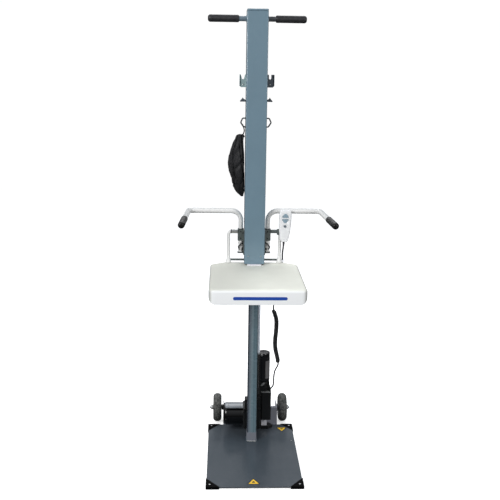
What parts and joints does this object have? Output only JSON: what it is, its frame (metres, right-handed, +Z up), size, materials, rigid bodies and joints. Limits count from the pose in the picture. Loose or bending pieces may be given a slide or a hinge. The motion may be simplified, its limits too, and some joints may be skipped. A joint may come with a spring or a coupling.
{
  "type": "sit to stand lift",
  "caption": "Wheeled foot plate with a fixed column; a tall mast carrying a seat, swing-out arm rests, push bar and hooks slides down over it, driven by a screw and geared motor.",
  "frame": {"origin": "on the floor at the middle of the whole lift's bounding box, seat raised and arms forward", "axes": "+Z up along the column; -Y is the way a seated user faces, +Y towards the wheels; +X is on the viewer's right when looking along +Y at the seat"},
  "size_m": [0.6142, 0.719, 1.896],
  "materials": {
    "mast_paint": "satin powder coat",
    "frame_grey_paint": "satin powder coat",
    "slate_paint": "fine textured powder coat",
    "white_paint": "satin powder coat",
    "black_paint": "satin",
    "bright_steel": "bright",
    "dark_steel": "blackened",
    "cast_aluminium": "cast",
    "bronze": "machined",
    "white_plastic": "moulded, satin",
    "grey_plastic": "moulded",
    "black_plastic": "moulded",
    "black_gloss_plastic": "gloss",
    "button_plastic": "moulded",
    "pad_rubber": "moulded",
    "grip_rubber": "moulded, ribbed",
    "tyre_rubber": "non-marking grey",
    "bag_fabric": "woven nylon",
    "cord_jacket": "extruded"
  },
  "bodies": {
    "base": {"foot_plate": "slate_paint", "rear_panel": "frame_grey_paint", "corner_pad_front_left": "pad_rubber", "corner_pad_front_right": "pad_rubber", "corner_pad_rear_left": "pad_rubber", "corner_pad_rear_right": "pad_rubber", "column": "mast_paint", "column_socket": "frame_grey_paint", "column_top_bearing": "bright_steel", "gearbox_housing": "black_paint", "drive_motor": "black_paint", "axle": "bright_steel", "axle_nut_left": "bright_steel", "axle_nut_right": "bright_steel", "battery_dock": "black_plastic", "battery_case": "black_gloss_plastic", "battery_cap": "black_plastic", "dock_clevis": "cast_aluminium", "dock_foot": "black_paint", "cord_lower_lead": "cord_jacket", "cord_coil": "cord_jacket", "cord_tail": "cord_jacket"},
    "carriage": {"mast_tube": "mast_paint", "mast_cap": "mast_paint", "drive_nut": "bronze", "glide_pad": "white_plastic", "push_bar": "frame_grey_paint", "push_bar_grip_left": "grip_rubber", "push_bar_grip_right": "grip_rubber", "fork_hook_left": "slate_paint", "fork_hook_right": "slate_paint", "cleat_left": "slate_paint", "cleat_right": "slate_paint", "wire_hook_left": "dark_steel", "wire_hook_right": "dark_steel", "seat_shell": "white_plastic", "seat_frame": "slate_paint", "seat_rear_bar": "frame_grey_paint", "seat_stay_left": "white_paint", "seat_stay_right": "white_paint", "arm_bracket_left": "frame_grey_paint", "arm_bracket_right": "frame_grey_paint", "accessory_bag": "bag_fabric", "cord_clip": "black_plastic", "handset_case": "white_plastic", "handset_holder": "black_paint", "cord_upper_lead": "cord_jacket"},
    "lift_screw": {"lift_screw": "bright_steel", "worm_wheel": "bronze"},
    "arm_left": {"arm_tube_left": "white_paint", "arm_grip_left": "grip_rubber"},
    "arm_right": {"arm_tube_right": "white_paint", "arm_grip_right": "grip_rubber"},
    "wheel_left": {"tyre_left": "tyre_rubber", "hub_left": "grey_plastic"},
    "wheel_right": {"tyre_right": "tyre_rubber", "hub_right": "grey_plastic"},
    "up_button": {"up_button": "button_plastic"},
    "down_button": {"down_button": "button_plastic"},
    "light_button": {"light_button": "button_plastic"}
  },
  "joints": [
    {"name": "lift_travel", "type": "slide", "parent": "base", "child": "carriage", "axis": [0, 0, 1], "range_m": [-0.755, 0], "deforming": ["cord_lower_lead", "cord_coil", "cord_tail"]},
    {"name": "lift_screw_turn", "type": "hinge", "parent": "base", "child": "lift_screw", "pos_m": [0.0285, 0.1225, 0.06], "axis": [0, 0, 1], "continuous": true},
    {"name": "arm_left_swing", "type": "hinge", "parent": "carriage", "child": "arm_left", "pos_m": [-0.0585, 0.1035, 0.96], "axis": [0, 0, -1], "range_deg": [0, 50]},
    {"name": "arm_right_swing", "type": "hinge", "parent": "carriage", "child": "arm_right", "pos_m": [0.0585, 0.1035, 0.96], "axis": [0, 0, 1], "range_deg": [0, 50]},
    {"name": "wheel_left_spin", "type": "hinge", "parent": "base", "child": "wheel_left", "pos_m": [-0.157, 0.2925, 0.067], "axis": [1, 0, 0], "continuous": true},
    {"name": "wheel_right_spin", "type": "hinge", "parent": "base", "child": "wheel_right", "pos_m": [0.157, 0.2925, 0.067], "axis": [1, 0, 0], "continuous": true},
    {"name": "up_button_press", "type": "slide", "parent": "carriage", "child": "up_button", "axis": [0, 1, 0], "range_m": [0, 0.0015], "stiffness_N_per_m": 400},
    {"name": "down_button_press", "type": "slide", "parent": "carriage", "child": "down_button", "axis": [0, 1, 0], "range_m": [0, 0.0015], "stiffness_N_per_m": 400},
    {"name": "light_button_press", "type": "slide", "parent": "carriage", "child": "light_button", "axis": [0, 1, 0], "range_m": [0, 0.0015], "stiffness_N_per_m": 400}
  ],
  "couplings": [
    {"joint": "lift_screw_turn", "follows": "lift_travel", "rad_per_m": -392.7}
  ]
}
